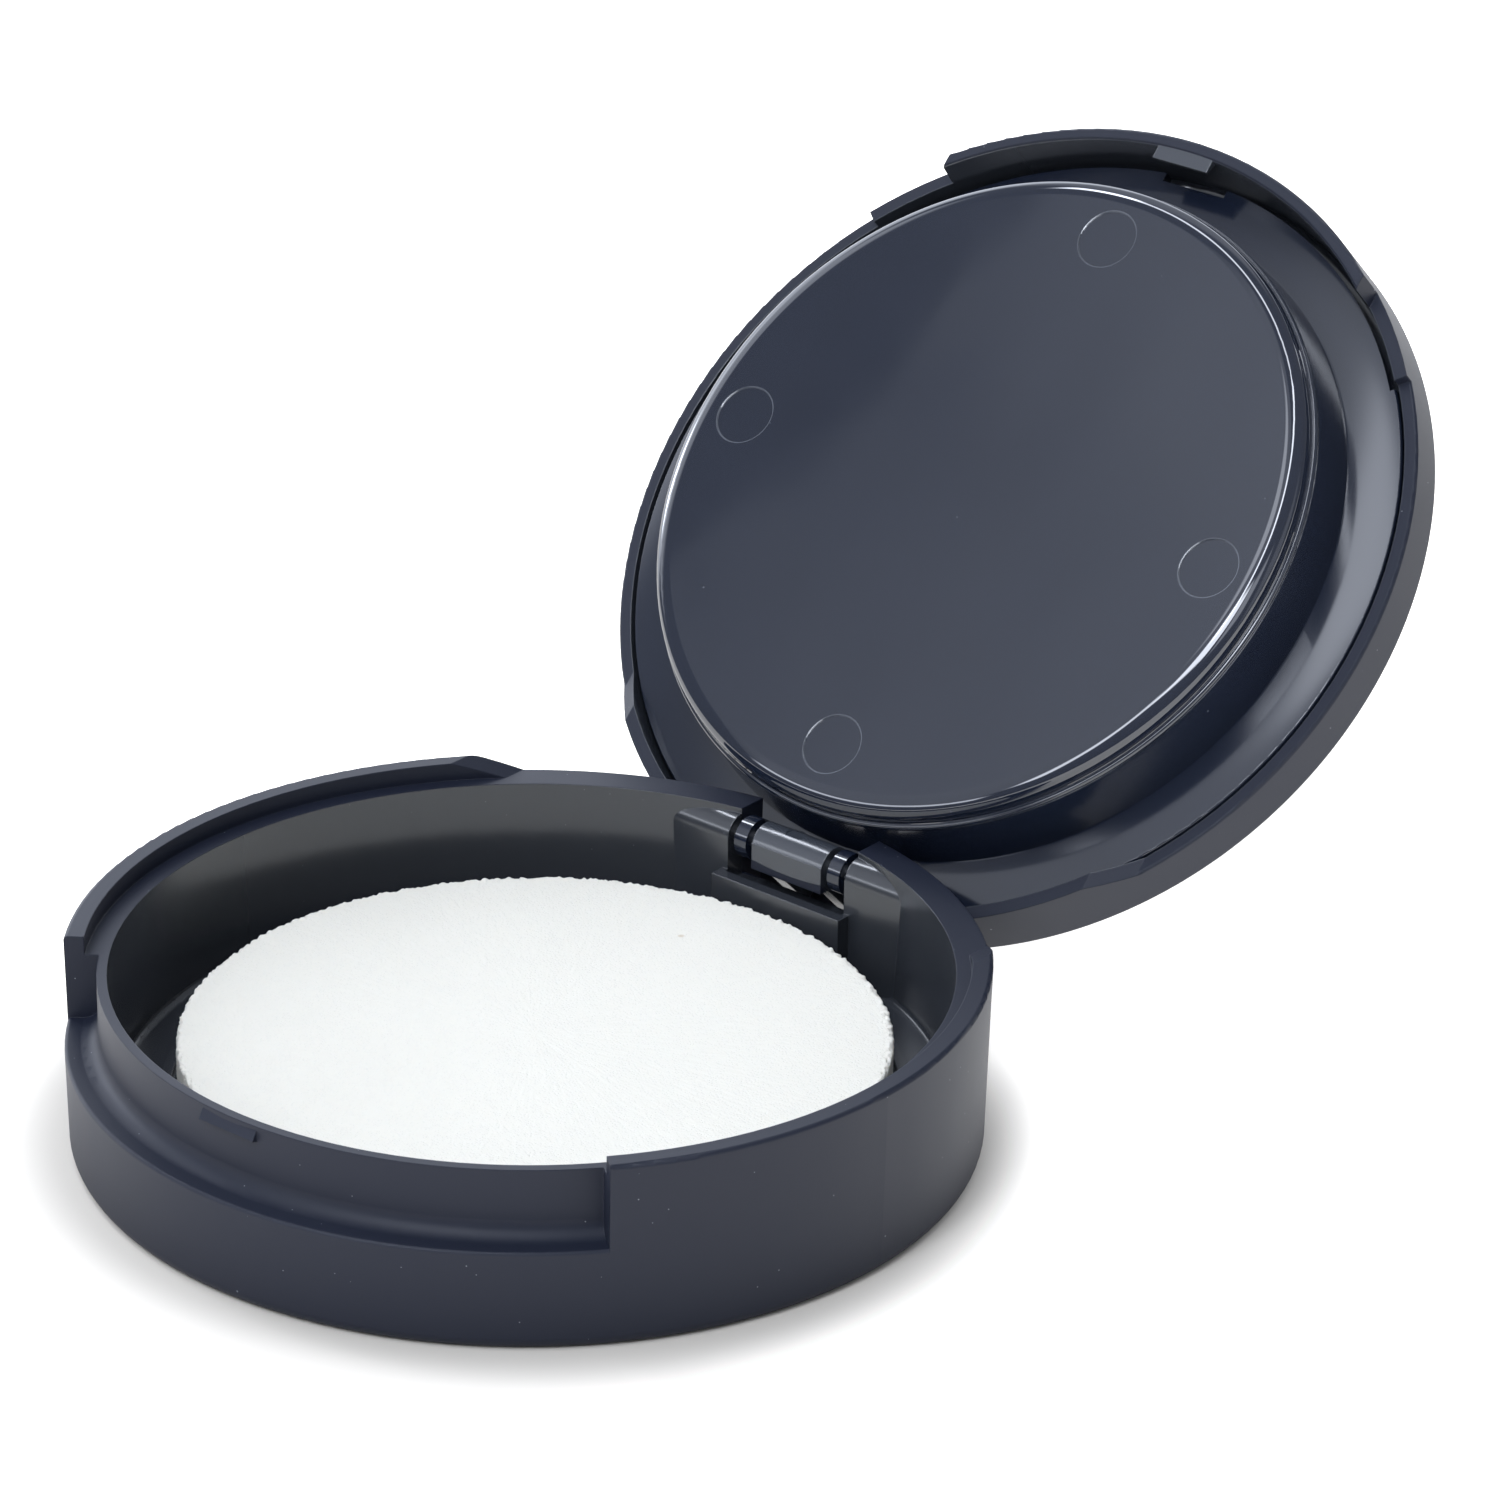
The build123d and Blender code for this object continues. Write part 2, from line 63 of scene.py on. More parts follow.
# ---------------------------------------------------------------- camera
CAMERA_AZIMUTH, CAMERA_ELEVATION = 42.008, 27.101
CAMERA_DISTANCE = 0.59634
CAMERA_ROLL = radians(0.796)
CAMERA_LENS = 165.73
BASE_MIDDLE = Vector((0, 0, 10 * MM))
AIM = Vector((7.611, 20.254, 31.139)) * MM


def make_camera():
    """The camera stands round the base's middle, and looks at a point between base and lid."""
    camera = bpy.data.objects.new("camera", bpy.data.cameras.new("camera"))
    bpy.context.scene.collection.objects.link(camera)
    place = BASE_MIDDLE + direction(CAMERA_AZIMUTH, CAMERA_ELEVATION) * CAMERA_DISTANCE
    facing = (AIM - place).to_track_quat("-Z", "Y").to_matrix().to_4x4()
    camera.matrix_world = Matrix.Translation(place) @ facing @ Matrix.Rotation(CAMERA_ROLL, 4, "Z")
    camera.data.lens = CAMERA_LENS
    camera.data.sensor_width = 36
    camera.data.clip_start = 0.05
    camera.data.clip_end = 20
    bpy.context.scene.camera = camera


make_camera()


# ---------------------------------------------------------------- shader helpers
def new_material(name):
    """A material, its node tree, its shader, and the place of the shaded point."""
    material = bpy.data.materials.new(name)
    material.use_nodes = True
    tree = material.node_tree
    place = add(tree, "ShaderNodeTexCoord", {}).outputs["Object"]
    return material, tree, tree.nodes["Principled BSDF"], place


def plug(tree, node, inputs):
    """Links or sets some inputs of a node."""
    for key, value in inputs.items():
        if isinstance(value, bpy.types.NodeSocket):
            tree.links.new(value, node.inputs[key])
        else:
            node.inputs[key].default_value = value


def add(tree, kind, inputs, **settings):
    """A node with its settings, and with its inputs linked or set."""
    node = tree.nodes.new(kind)
    for key, value in settings.items():
        setattr(node, key, value)
    plug(tree, node, inputs)
    return node


def noise_value(tree, place, scale, detail):
    inputs = {"Vector": place, "Scale": scale, "Detail": detail, "Roughness": 0.55}
    return add(tree, "ShaderNodeTexNoise", inputs).outputs["Fac"]


def ramp(tree, value, *stops):
    """A colour ramp between two (position, colour) stops."""
    node = add(tree, "ShaderNodeValToRGB", {"Fac": value})
    for element, (position, colour) in zip(node.color_ramp.elements, stops):
        element.position = position
        element.color = (*colour, 1)
    return node.outputs["Color"]


def span(tree, value, low, high, out_low=0.0, out_high=1.0):
    """A smooth step from out_low to out_high as value goes from low to high."""
    inputs = {
        "Value": value,
        "From Min": low,
        "From Max": high,
        "To Min": out_low,
        "To Max": out_high,
    }
    step = add(tree, "ShaderNodeMapRange", inputs, interpolation_type="SMOOTHSTEP")
    return step.outputs["Result"]


def maths(tree, operation, a, b=0.0):
    return add(tree, "ShaderNodeMath", {0: a, 1: b}, operation=operation).outputs["Value"]


def vector_value(tree, operation, a, b=(0, 0, 0)):
    """A number from vectors: a length, a distance or a dot product."""
    node = add(tree, "ShaderNodeVectorMath", {0: a, 1: b}, operation=operation)
    return node.outputs["Value"]


def mix_colour(tree, share, a, b):
    return add(tree, "ShaderNodeMix", {0: share, 6: a, 7: b}, data_type="RGBA").outputs[2]


def mix_value(tree, share, a, b):
    return add(tree, "ShaderNodeMix", {0: share, 2: a, 3: b}, data_type="FLOAT").outputs[0]


def mix_vector(tree, share, a, b):
    return add(tree, "ShaderNodeMix", {0: share, 4: a, 5: b}, data_type="VECTOR").outputs[1]


def bump(tree, height, strength, distance, normal=None):
    inputs = {"Height": height, "Strength": strength, "Distance": distance}
    if normal is not None:
        inputs["Normal"] = normal
    return add(tree, "ShaderNodeBump", inputs).outputs["Normal"]


def soft_edges(tree, radius):
    """The normal of the surface with its sharp edges rounded over."""
    return add(tree, "ShaderNodeBevel", {"Radius": radius}, samples=6).outputs["Normal"]


def specks(tree, place, scale, radius, share):
    """1 inside small round specks of dust, in a share of the cells of a grid of this scale."""
    inputs = {"Vector": place, "Scale": scale, "Randomness": 1.0}
    cells = add(tree, "ShaderNodeTexVoronoi", inputs)
    chosen = add(tree, "ShaderNodeSeparateColor", {"Color": cells.outputs["Color"]}).outputs["Red"]
    inside = span(tree, cells.outputs["Distance"], radius, radius * 0.5)
    picked = maths(tree, "LESS_THAN", chosen, share)
    return maths(tree, "MULTIPLY", inside, picked)


def closed_place(tree, place):
    """The place of a point of the tray or lid with the compact closed."""
    turn = Matrix.Rotation(CLOSING_ANGLE, 3, "X")
    shift = HINGE - turn @ HINGE
    inputs = {"Vector": place, "Location": shift, "Rotation": (CLOSING_ANGLE, 0, 0)}
    return add(tree, "ShaderNodeMapping", inputs, vector_type="POINT").outputs["Vector"]


def radius_from(tree, place, centre_y=0.0):
    """Distance from the upright line at (0, centre_y), and the three parts of the place."""
    parts = add(tree, "ShaderNodeSeparateXYZ", {"Vector": place}).outputs
    along = maths(tree, "SUBTRACT", parts["Y"], centre_y)
    flat = add(tree, "ShaderNodeCombineXYZ", {"X": parts["X"], "Y": along}).outputs["Vector"]
    return vector_value(tree, "LENGTH", flat), parts


# ---------------------------------------------------------------- floor, light and world
FLOOR_SIDE = 8.0
FLOOR_WHITE, FLOOR_WHITER = (0.904, 0.854, 0.766), (0.924, 0.874, 0.786)
# painted contact shadow: the floor's grey next to the base
CONTACT_SHADOW_GREY = (0.50, 0.47, 0.42, 1)
CONTACT_R, CLEAR_R = 40 * MM, 46 * MM
# painted light: beyond these radii, round a centre a little to the front, the floor glows
LIT_CENTRE_Y = -6 * MM
UNLIT_R, LIT_R = 39 * MM, 54 * MM
LIT_STRENGTH = 0.8


def make_floor():
    """A white floor with a painted contact shadow, greyer next to the base. Away from the base it
    glows as painted light, so that the lid's shadow doesn't stay on it."""
    mesh = bpy.data.meshes.new("floor")
    half = FLOOR_SIDE / 2
    corners = [(-half, -half, 0), (half, -half, 0), (half, half, 0), (-half, half, 0)]
    mesh.from_pydata(corners, [], [(0, 1, 2, 3)])
    floor = bpy.data.objects.new("floor", mesh)
    bpy.context.scene.collection.objects.link(floor)
    material, tree, shader, place = new_material("floor_white")
    grain = noise_value(tree, place, 40, detail=2)
    white = ramp(tree, grain, (0.0, FLOOR_WHITE), (1.0, FLOOR_WHITER))
    radius, _ = radius_from(tree, place)
    # painted contact shadow: the floor turns greyer towards the base
    under = span(tree, radius, CONTACT_R, CLEAR_R, 0.7, 0.0)
    # painted light: the floor glows away from the base, which hides the lid's shadow
    lit_radius, _ = radius_from(tree, place, LIT_CENTRE_Y)
    looks = {
        "Base Color": mix_colour(tree, under, white, CONTACT_SHADOW_GREY),
        "Emission Color": (1, 1, 1, 1),
        "Emission Strength": span(tree, lit_radius, UNLIT_R, LIT_R, 0.0, LIT_STRENGTH),
        "Roughness": 0.9,
        "Specular IOR Level": 0.2,
    }
    plug(tree, shader, looks)
    mesh.materials.append(material)


WORLD_COLOUR = (0.93, 0.985, 1.10, 1)
DOME_LOW, DOME_HIGH = 0.28, 0.36
PANEL_WAVE = 0.02

# azimuth and elevation in degrees, half width and height as tangents, softness, strength
PANELS = (
    # overhead, behind the compact
    (-138, 48, 0.34, 0.26, 0.08, 0.6),
    # small lamps that draw the bright lines along the tray's edge
    (-98, 71, 0.035, 0.33, 0.02, 9.0),
    (5, 71, 0.04, 0.33, 0.02, 13.0),
    (14, 51, 0.17, 0.12, 0.03, 11.0),
    (-4, 36, 0.06, 0.20, 0.03, 8.0),
    (-99, 53, 0.05, 0.06, 0.02, 13.0),
    (-87, 14, 0.045, 0.09, 0.02, 13.0),
    (-26, 16, 0.34, 0.045, 0.03, 5.5),
    # above the camera, and at the left
    (48, 47, 0.14, 0.16, 0.04, 2.0),
    (-84, 26, 0.20, 0.30, 0.05, 1.5),
    # seen in the tray's round face
    (-28, 47, 0.372, 0.50, 0.0008, 0.24),
    (-28, 47, 0.33, 0.50, 0.045, 0.32),
    # seen in the tray's flange
    (-38, 59, 0.12, 0.10, 0.03, 2.6),
    (-57.5, 50, 0.03, 0.03, 0.03, 0.25),
    # pale backdrop behind the lid, and a panel at the right
    (-135, 16, 1.3, 0.34, 0.10, 2.4),
    (100, 24, 0.30, 0.30, 0.10, 0.5),
)


def panel(tree, ray, azimuth, elevation, half_wide, half_high, soft):
    """1 towards a soft, slightly wavy rectangle of the studio, 0 elsewhere."""
    centre = direction(azimuth, elevation)
    across = Vector((cos(radians(azimuth)), sin(radians(azimuth)), 0))
    depth = vector_value(tree, "DOT_PRODUCT", ray, centre)
    mask = maths(tree, "GREATER_THAN", depth, 0.0)
    ripple = maths(tree, "SUBTRACT", noise_value(tree, ray, 14, detail=1), 0.5)
    wave = maths(tree, "MULTIPLY", ripple, PANEL_WAVE)
    for axis, half in ((across, half_wide), (centre.cross(across), half_high)):
        along = vector_value(tree, "DOT_PRODUCT", ray, axis)
        offset = maths(tree, "ABSOLUTE", maths(tree, "DIVIDE", along, depth))
        offset = maths(tree, "ADD", offset, wave)
        mask = maths(tree, "MULTIPLY", mask, span(tree, offset, half + soft, half - soft))
    return mask


def make_world():
    """A grey studio, a little brighter overhead, with soft panels."""
    world = bpy.data.worlds.new("studio")
    bpy.context.scene.world = world
    world.use_nodes = True
    tree = world.node_tree
    ray = add(tree, "ShaderNodeTexCoord", {}).outputs["Generated"]
    parts = add(tree, "ShaderNodeSeparateXYZ", {"Vector": ray}).outputs
    strength = span(tree, parts["Z"], -0.1, 1.0, DOME_LOW, DOME_HIGH)
    for *shape, power in PANELS:
        mask = panel(tree, ray, *shape)
        strength = maths(tree, "ADD", strength, maths(tree, "MULTIPLY", mask, power))
    plug(tree, tree.nodes["Background"], {"Strength": strength, "Color": WORLD_COLOUR})


# ---------------------------------------------------------------- base and lid
MATTE, MATTE_LIGHT = (0.0086, 0.0114, 0.0228, 1), (0.0100, 0.0131, 0.0250, 1)
# painted light: the polished insides have lighter colours than the matte plastic, standing in for
# light reflected in the well and the lid
BASE_GLOSS_PAINTED_LIGHT = (0.028, 0.031, 0.037, 1)
LID_GLOSS_PAINTED_LIGHT = (0.038, 0.043, 0.053, 1)
DUST = (0.32, 0.34, 0.38, 1)
EDGE_SOFTNESS = 0.16 * MM
WELL_CENTRE_Y, WELL_R, SHELF_Z = 0.6 * MM, 36.52 * MM, 15.3 * MM
LID_WALL_R, LID_PLATE_Z = 38.78 * MM, 20.6 * MM


def shell_plastic(name, gloss_and_painted_light_mask, gloss_painted_light_colour):
    """Moulded blue-black plastic, finely blasted outside and polished where
    gloss_and_painted_light_mask says; there the colour is lighter too, painted light that stands
    in for reflections.
    """
    material, tree, shader, place = new_material(name)
    gloss = gloss_and_painted_light_mask(tree, place)
    cloud = noise_value(tree, place, 60, detail=4)
    blast = noise_value(tree, place, 9000, detail=2)
    fine_dust = specks(tree, place, 1500, 0.11, 0.05)
    large_dust = specks(tree, place, 330, 0.045, 0.12)
    dust = maths(tree, "MAXIMUM", fine_dust, large_dust)
    # painted light: where polished, the body takes the lighter gloss colour
    body = mix_colour(tree, gloss, mix_colour(tree, cloud, MATTE, MATTE_LIGHT), gloss_painted_light_colour)
    dust_share = maths(tree, "MULTIPLY", dust, mix_value(tree, gloss, 0.55, 0.12))
    matte_rough = span(tree, cloud, 0.3, 0.7, 0.49, 0.52)
    relief = mix_value(tree, gloss, 0.22, 0.01)
    looks = {
        "Base Color": mix_colour(tree, dust_share, body, DUST),
        "Roughness": mix_value(tree, gloss, matte_rough, 0.2),
        "Normal": bump(tree, blast, relief, 0.02 * MM, soft_edges(tree, EDGE_SOFTNESS)),
        "Specular IOR Level": mix_value(tree, gloss, 0.30, 0.9),
    }
    plug(tree, shader, looks)
    return material


def base_gloss_and_painted_light(tree, place):
    """The base is polished inside its well, below the shelf, and has a lighter colour there:
    painted light in the well.
    """
    radius, parts = radius_from(tree, place, WELL_CENTRE_Y)
    inside = span(tree, radius, WELL_R + 0.06 * MM, WELL_R)
    low = span(tree, parts["Z"], SHELF_Z, SHELF_Z - 0.04 * MM)
    return maths(tree, "MULTIPLY", inside, low)


def lid_gloss_and_painted_light(tree, place):
    """The lid is polished inside its wall, up to its plate, and has a lighter colour there:
    painted light inside the lid.
    """
    radius, parts = radius_from(tree, closed_place(tree, place))
    inside = span(tree, radius, LID_WALL_R + 0.05 * MM, LID_WALL_R)
    low = span(tree, parts["Z"], LID_PLATE_Z + 0.1 * MM, LID_PLATE_Z)
    return maths(tree, "MULTIPLY", inside, low)


# ---------------------------------------------------------------- tray
TRAY, TRAY_LIGHT = (0.0075, 0.0110, 0.0215, 1), (0.0095, 0.0135, 0.026, 1)
RING_GREY = (0.10, 0.11, 0.13, 1)
MARK_RING_R, MARK_R, MARK_TOP = 26.8 * MM, 2.9 * MM, 9.4 * MM
MARK_LINE, MARK_LINE_CORE = 0.11 * MM, 0.03 * MM
SATIN_R = 32.78 * MM

# Rings that the shading follows: the radius and height of the middle of a fillet, and its size
FACE_R, FACE_Z, FACE_ROUND = 31.1 * MM, 10.2 * MM, 1.2 * MM
SHOULDER_R, SHOULDER_Z, SHOULDER_ROUND = 32.513 * MM, 11.369 * MM, 0.3 * MM
FILLET_REACH, FILLET_CORE = 0.10 * MM, 0.07 * MM
EASE_R, EASE = 30.5 * MM, 0.444  # the face starts to turn down here, before its fillet does
FLANGE_R, FLANGE_Z = 33.4 * MM, 17.15 * MM
DISH_R, DISH_DEPTH = 31.52 * MM, 39.78 * MM


def ejector_rings(tree, closed):
    """1 along the thin witness lines round the four ejector pin marks."""
    parts = add(tree, "ShaderNodeSeparateXYZ", {"Vector": closed}).outputs
    flat = add(tree, "ShaderNodeCombineXYZ", {"X": parts["X"], "Y": parts["Y"]}).outputs["Vector"]
    ring = 0.0
    for across, along in ((0, -1), (1, 0), (0, 1), (-1, 0)):
        centre = (across * MARK_RING_R, along * MARK_RING_R, 0)
        away = vector_value(tree, "DISTANCE", flat, centre)
        off = maths(tree, "ABSOLUTE", maths(tree, "SUBTRACT", away, MARK_R))
        ring = maths(tree, "MAXIMUM", span(tree, off, MARK_LINE, MARK_LINE_CORE), ring)
    low = span(tree, parts["Z"], MARK_TOP + 0.2 * MM, MARK_TOP)
    return maths(tree, "MULTIPLY", ring, low)


def ring_arrow(tree, parts, radius, out, up):
    """An arrow that points out from the compact's middle line by out, and up by up."""
    spread = maths(tree, "DIVIDE", out, radius)
    across = maths(tree, "MULTIPLY", parts["X"], spread)
    along = maths(tree, "MULTIPLY", parts["Y"], spread)
    arrow = add(tree, "ShaderNodeCombineXYZ", {"X": across, "Y": along, "Z": up})
    return arrow.outputs["Vector"]


def near_arc(tree, out, up, round_over):
    """1 on a fillet, from the distances to its centre."""
    out_squared, up_squared = (maths(tree, "MULTIPLY", side, side) for side in (out, up))
    away = maths(tree, "SQRT", maths(tree, "ADD", out_squared, up_squared))
    off = maths(tree, "ABSOLUTE", maths(tree, "SUBTRACT", away, round_over))
    return span(tree, off, FILLET_REACH, FILLET_CORE)


def turned_normal(tree, normal, arrow, share):
    """Mixes in a direction that is given with the compact closed."""
    turn = {"Vector": arrow, "Angle": -CLOSING_ANGLE}
    turned = add(tree, "ShaderNodeVectorRotate", turn, rotation_type="X_AXIS").outputs["Vector"]
    way = {"vector_type": "NORMAL", "convert_from": "OBJECT", "convert_to": "WORLD"}
    world = add(tree, "ShaderNodeVectorTransform", {"Vector": turned}, **way).outputs["Vector"]
    unit = add(tree, "ShaderNodeVectorMath", {0: world}, operation="NORMALIZE").outputs["Vector"]
    return mix_vector(tree, share, normal, unit)


def tray_normal(tree, closed):
    """The tray's normal, with true fillets instead of facets and a slightly dished flange."""
    radius, parts = radius_from(tree, closed)
    normal = add(tree, "ShaderNodeNewGeometry", {}).outputs["Normal"]

    out = maths(tree, "MAXIMUM", maths(tree, "SUBTRACT", radius, FACE_R))
    up = maths(tree, "MINIMUM", maths(tree, "SUBTRACT", parts["Z"], FACE_Z))
    eased = maths(tree, "MAXIMUM", maths(tree, "SUBTRACT", radius, EASE_R))
    arrow = ring_arrow(tree, parts, radius, maths(tree, "MULTIPLY", eased, EASE), up)
    normal = turned_normal(tree, normal, arrow, near_arc(tree, out, up, FACE_ROUND))

    out = maths(tree, "SUBTRACT", radius, SHOULDER_R)
    up = maths(tree, "SUBTRACT", parts["Z"], SHOULDER_Z)
    arrow = ring_arrow(tree, parts, radius, out, up)
    normal = turned_normal(tree, normal, arrow, near_arc(tree, out, up, SHOULDER_ROUND))

    out = maths(tree, "SUBTRACT", radius, DISH_R)
    arrow = ring_arrow(tree, parts, radius, out, -DISH_DEPTH)
    off = maths(tree, "ABSOLUTE", maths(tree, "SUBTRACT", parts["Z"], FLANGE_Z))
    level = span(tree, off, 0.08 * MM, 0.05 * MM)
    outer = span(tree, radius, FLANGE_R, FLANGE_R + 0.1 * MM)
    return turned_normal(tree, normal, arrow, maths(tree, "MULTIPLY", level, outer))


def tray_plastic():
    """Polished black plastic with faint flow waves, a little dust and witness lines of ejector
    pins, and satin round the flange."""
    material, tree, shader, place = new_material("tray_gloss")
    closed = closed_place(tree, place)
    waves = noise_value(tree, place, 38, detail=1)
    cloud = noise_value(tree, place, 120, detail=4)
    worn = span(tree, cloud, 0.25, 0.6, 0.35, 0.9)
    ring = maths(tree, "MULTIPLY", ejector_rings(tree, closed), worn)
    dust = specks(tree, place, 420, 0.05, 0.1)
    body = mix_colour(tree, cloud, TRAY, TRAY_LIGHT)
    dusty = mix_colour(tree, maths(tree, "MULTIPLY", dust, 0.25), body, DUST)
    radius, _ = radius_from(tree, closed)
    satin = span(tree, radius, SATIN_R, SATIN_R + 0.07 * MM)
    polished = span(tree, cloud, 0.3, 0.7, 0.02, 0.04)
    looks = {
        "Base Color": mix_colour(tree, ring, dusty, RING_GREY),
        "Roughness": mix_value(tree, satin, polished, 0.13),
        "Normal": bump(tree, waves, 0.25, 0.35 * MM, tray_normal(tree, closed)),
        "IOR": 1.75,
    }
    plug(tree, shader, looks)
    return material


# ---------------------------------------------------------------- the other materials
def steel_wire():
    material, tree, shader, place = new_material("pin_steel")
    drawn_out = {"Vector": place, "Scale": (0.05, 1, 1)}
    stretched = add(tree, "ShaderNodeMapping", drawn_out).outputs["Vector"]
    streaks = noise_value(tree, stretched, 7000, detail=3)
    looks = {
        "Base Color": ramp(tree, streaks, (0.2, (0.42, 0.43, 0.45)), (0.8, (0.62, 0.63, 0.65))),
        "Roughness": span(tree, streaks, 0.2, 0.8, 0.24, 0.42),
        "Metallic": 1.0,
    }
    plug(tree, shader, looks)
    return material


def pan_metal():
    material, tree, shader, place = new_material("pan_aluminium")
    drawn = noise_value(tree, place, 2500, detail=4)
    looks = {
        "Base Color": ramp(tree, drawn, (0.3, (0.66, 0.67, 0.68)), (0.7, (0.8, 0.8, 0.81))),
        "Roughness": span(tree, drawn, 0.3, 0.7, 0.26, 0.4),
        "Normal": bump(tree, drawn, 0.08, 0.02 * MM),
        "Metallic": 1.0,
    }
    plug(tree, shader, looks)
    return material


def pressed_powder():
    """Warm beige powder with darker grains of pigment."""
    material, tree, shader, place = new_material("pressed_powder")
    cloud = noise_value(tree, place, 130, detail=5)
    grain = noise_value(tree, place, 5200, detail=3)
    warm = ramp(tree, cloud, (0.25, (0.60, 0.39, 0.26)), (0.75, (0.67, 0.46, 0.32)))
    pigment = maths(tree, "MULTIPLY", specks(tree, place, 2600, 0.16, 0.2), 0.35)
    looks = {
        "Base Color": mix_colour(tree, pigment, warm, (0.48, 0.27, 0.17, 1)),
        "Normal": bump(tree, grain, 0.5, 0.05 * MM),
        "Roughness": 0.85,
        "Sheen Weight": 0.25,
        "Sheen Roughness": 0.4,
    }
    plug(tree, shader, looks)
    return material


def mirror_silver():
    material, tree, shader, place = new_material("mirror_silver")
    haze = noise_value(tree, place, 90, detail=4)
    looks = {
        "Base Color": ramp(tree, haze, (0.3, (0.88, 0.90, 0.91)), (0.7, (0.92, 0.94, 0.945))),
        "Roughness": span(tree, haze, 0.3, 0.8, 0.008, 0.025),
        "Metallic": 1.0,
    }
    plug(tree, shader, looks)
    return material


def adhesive_film():
    material, tree, shader, place = new_material("adhesive_film")
    fibres = noise_value(tree, place, 1800, detail=4)
    looks = {
        "Base Color": ramp(tree, fibres, (0.3, (0.72, 0.69, 0.60)), (0.7, (0.82, 0.80, 0.73))),
        "Roughness": 0.6,
    }
    plug(tree, shader, looks)
    return material


FOAM_WHITE, FOAM_WHITER = (0.735, 0.712, 0.635, 1), (0.757, 0.732, 0.655, 1)
# painted shade: the bluish grey of the pores' middles
FOAM_PORE_SHADE = (0.62, 0.66, 0.66, 1)
FOAM_SPECK, SPECK_TAN = Vector((-2.9, 23.6, 8.5)) * MM, (0.55, 0.45, 0.30, 1)
SPECK_R, SPECK_CORE_R = 0.4 * MM, 0.15 * MM


def foam():
    """Fine-pored white foam with one small tan speck, and painted shade in its pores."""
    material, tree, shader, place = new_material("sponge_foam")
    cloud = noise_value(tree, place, 70, detail=4)
    cells = noise_value(tree, place, 7000, detail=3)
    grid = {"Vector": place, "Scale": 3300, "Randomness": 1.0}
    pores = add(tree, "ShaderNodeTexVoronoi", grid).outputs["Distance"]
    away = vector_value(tree, "DISTANCE", place, FOAM_SPECK)
    speck = span(tree, away, SPECK_R, SPECK_CORE_R, 0.0, 0.6)
    white = mix_colour(tree, speck, mix_colour(tree, cloud, FOAM_WHITE, FOAM_WHITER), SPECK_TAN)
    # painted shade: darker towards the middle of each pore
    shade = maths(tree, "MULTIPLY", span(tree, pores, 0.0, 0.35, 0.55, 0.0), 0.35)
    swell = span(tree, pores, 0.0, 0.45)
    relief = maths(tree, "ADD", swell, maths(tree, "MULTIPLY", cells, 0.5))
    looks = {
        "Base Color": mix_colour(tree, shade, white, FOAM_PORE_SHADE),
        "Normal": bump(tree, relief, 0.5, 0.12 * MM),
        "Roughness": 0.95,
        "Specular IOR Level": 0.15,
        "Subsurface Weight": 0.25,
        "Subsurface Scale": 1.2 * MM,
        "Subsurface Radius": (1.0, 0.9, 0.8),
    }
    plug(tree, shader, looks)
    return material


def dress(node, material):
    """Puts a material on a carried-over node."""
    mesh = frame["nodes"][node].data
    mesh.materials.clear()
    mesh.materials.append(material)


# ---------------------------------------------------------------- sponge
SPONGE_SPOKES = 1280
UNDERSIDE_RINGS, SIDE_RINGS, ROUND_RINGS, TOP_RINGS = 8, 18, 5, 64
FLOOR_GAP = 0.03 * MM
SPONGE_MARGIN = 0.05 * MM
EDGE_ROUND = 0.35 * MM
TORN_WIDTH = 1.1 * MM
FLAT_BELOW = 0.2 * MM  # this much of the side above the underside stays plain


def foam_noise(point, size):
    return noise.noise(point / size)


def foam_shift(point, edge):
    """How far a surface point of the foam moves, outwards and up, with its pores and torn edge."""
    pores = 0.03 * MM * foam_noise(point, 0.5 * MM) + 0.02 * MM * foam_noise(point, 0.22 * MM)
    swell = 0.10 * MM * foam_noise(point, 12 * MM)
    ragged = 0.06 * MM * foam_noise(point, 0.8 * MM) + 0.16 * MM * foam_noise(point, 0.36 * MM)
    torn = edge * ragged
    return pores + torn, pores + swell + torn


def sponge_profile(radius, bottom, top):
    """Rings of radius, height and raggedness, from the underside's middle to the top's."""
    profile = [(radius * step / UNDERSIDE_RINGS, bottom, 0.0) for step in range(UNDERSIDE_RINGS)]
    profile.append((radius - 0.1 * MM, bottom, 0.2))
    for step in range(SIDE_RINGS):
        share = (step + 0.5) / SIDE_RINGS
        height = bottom + (top - bottom - EDGE_ROUND) * share
        profile.append((radius, height, 0.35 + 0.65 * share**4))
    for step in range(ROUND_RINGS):
        turn = pi / 2 * (step + 0.5) / ROUND_RINGS
        inset, drop = EDGE_ROUND * (1 - cos(turn)), EDGE_ROUND * (1 - sin(turn))
        profile.append((radius - inset, top - drop, 1.0))
    for step in range(TOP_RINGS + 1):
        ring = (radius - EDGE_ROUND) * (1 - (step / TOP_RINGS) ** 1.6)
        profile.append((ring, top, max(0.0, 1 - (radius - ring) / TORN_WIDTH)))
    return profile


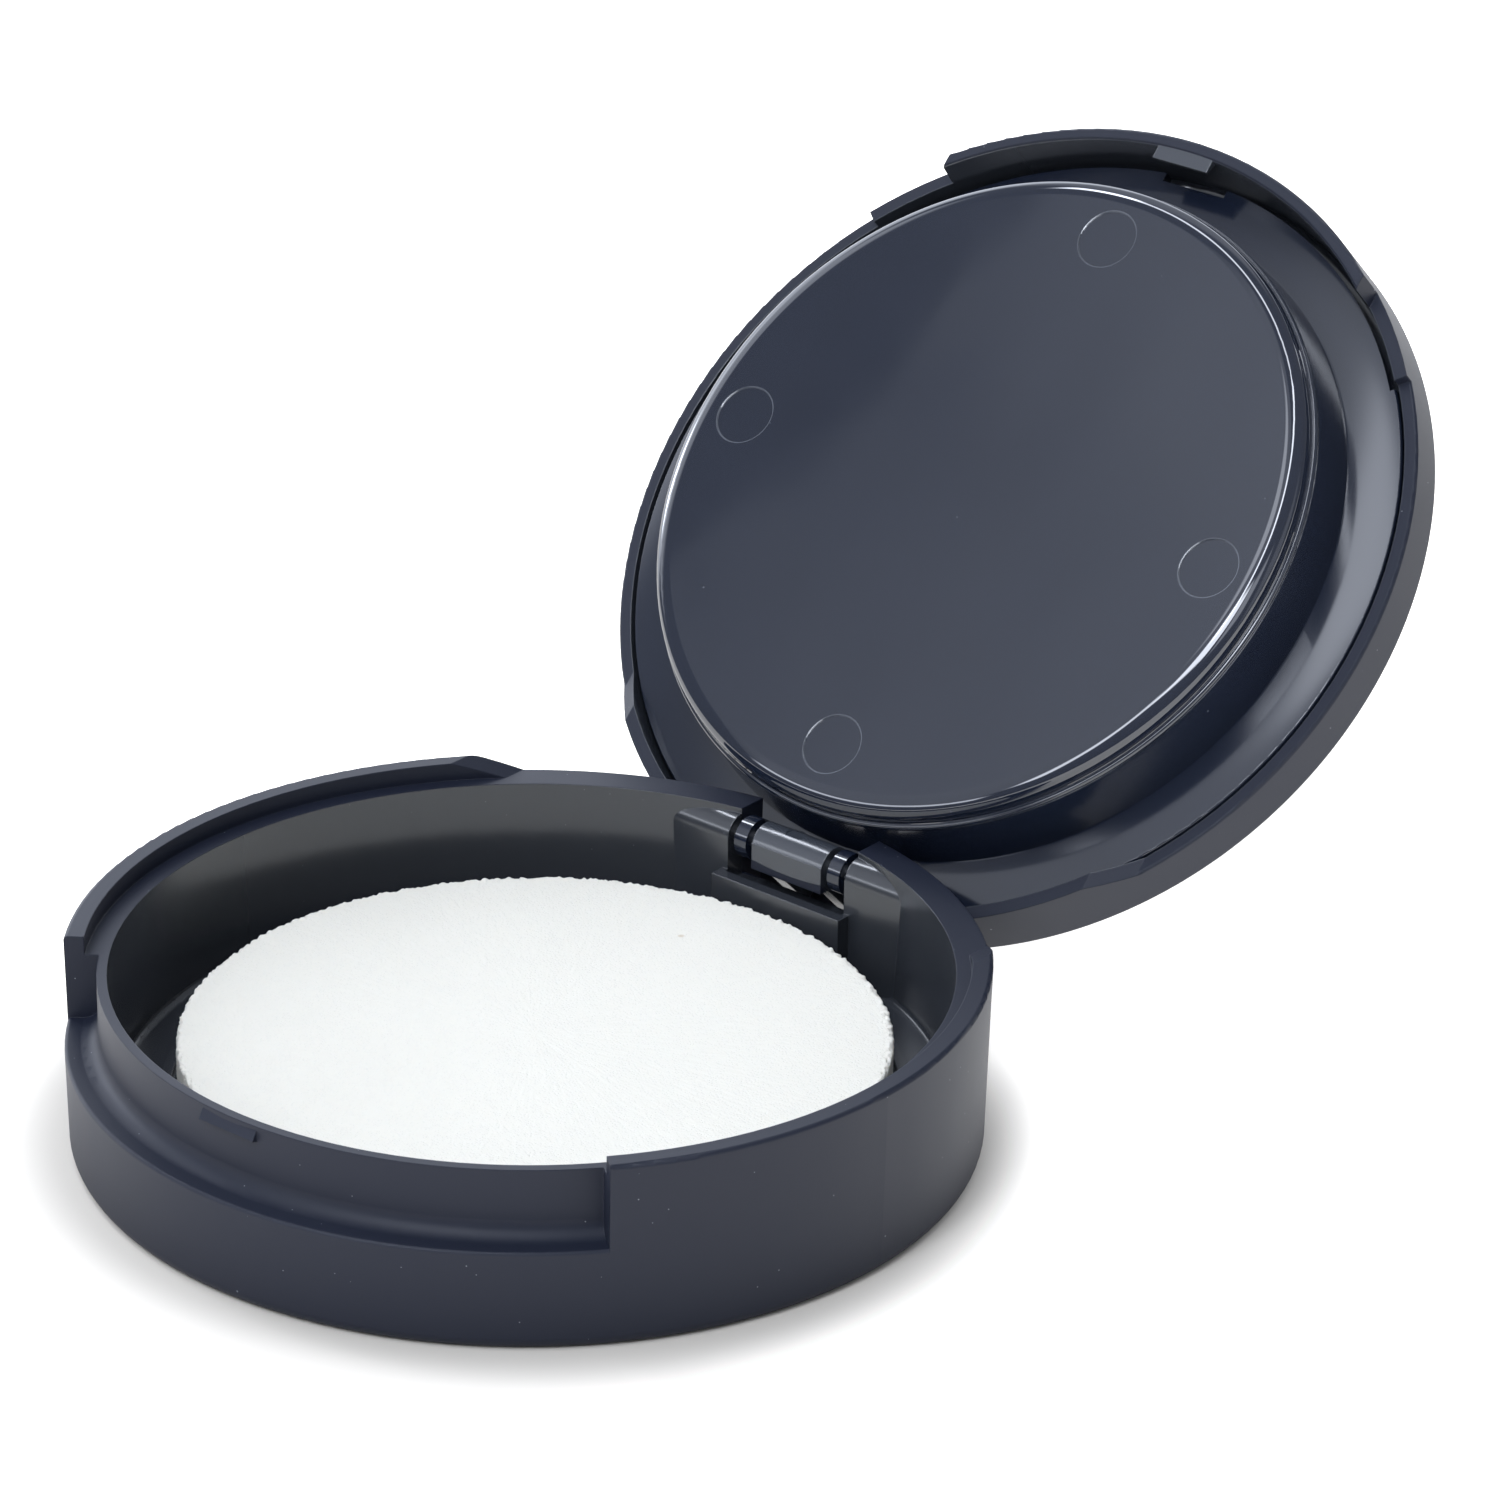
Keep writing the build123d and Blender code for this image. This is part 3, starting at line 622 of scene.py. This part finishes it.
def sponge_vertices(profile, centre, radius, bottom, top):
    """The shifted points of each ring, and their numbers ring by ring."""
    vertices, rings = [], []
    for ring_r, ring_z, edge in profile:
        if ring_r < 1e-6:
            rings.append([len(vertices)])
            pole = Vector((centre.x, centre.y, ring_z))
            pole.z += foam_shift(pole, edge)[1] if ring_z > bottom else 0
            vertices.append(pole)
            continue
        rings.append(list(range(len(vertices), len(vertices) + SPONGE_SPOKES)))
        on_side = ring_r > radius - EDGE_ROUND * 0.9
        for spoke in range(SPONGE_SPOKES):
            turn = 2 * pi * spoke / SPONGE_SPOKES
            outward = Vector((cos(turn), sin(turn), 0))
            point = centre.xy.to_3d() + outward * ring_r
            point.z = ring_z
            out, up = foam_shift(point, edge)
            if ring_z > bottom + FLAT_BELOW:
                point += outward * (out if on_side else 0)
                point.z += 0 if on_side and ring_z < top - EDGE_ROUND else up
            vertices.append(point)
    return vertices, rings


def sponge_faces(rings):
    faces = []
    for below, above in zip(rings, rings[1:]):
        for spoke in range(SPONGE_SPOKES):
            after = (spoke + 1) % SPONGE_SPOKES
            if len(below) == 1:
                faces.append((below[0], above[after], above[spoke]))
            elif len(above) == 1:
                faces.append((below[spoke], below[after], above[0]))
            else:
                faces.append((below[spoke], below[after], above[after], above[spoke]))
    return faces


def make_sponge():
    """The cut foam disc, in place of the CAD's plain one."""
    low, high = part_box("sponge")
    radius = (high.x - low.x) / 2 - SPONGE_MARGIN
    centre = (low + high) / 2
    bottom, top = low.z + FLOOR_GAP, high.z
    profile = sponge_profile(radius, bottom, top)
    vertices, rings = sponge_vertices(profile, centre, radius, bottom, top)
    mesh = bpy.data.meshes.new("sponge_foam")
    mesh.from_pydata(vertices, [], sponge_faces(rings))
    mesh.validate()
    for polygon in mesh.polygons:
        polygon.use_smooth = True
    mesh.materials.append(foam())
    piece = bpy.data.objects.new("sponge_foam", mesh)
    bpy.context.scene.collection.objects.link(piece)
    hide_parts("sponge")
    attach(piece, "base")


# ---------------------------------------------------------------- the scene
make_floor()
make_world()
dress("base_shell", shell_plastic("base_plastic", base_gloss_and_painted_light, BASE_GLOSS_PAINTED_LIGHT))
dress("lid_shell", shell_plastic("lid_plastic", lid_gloss_and_painted_light, LID_GLOSS_PAINTED_LIGHT))
dress("tray", tray_plastic())
dress("hinge_pin", steel_wire())
dress("powder_pan", pan_metal())
dress("powder_cake", pressed_powder())
dress("mirror_glass", mirror_silver())
dress("pan_adhesive", adhesive_film())
dress("mirror_adhesive", adhesive_film())
make_sponge()

bpy.context.scene.view_settings.view_transform = "Standard"
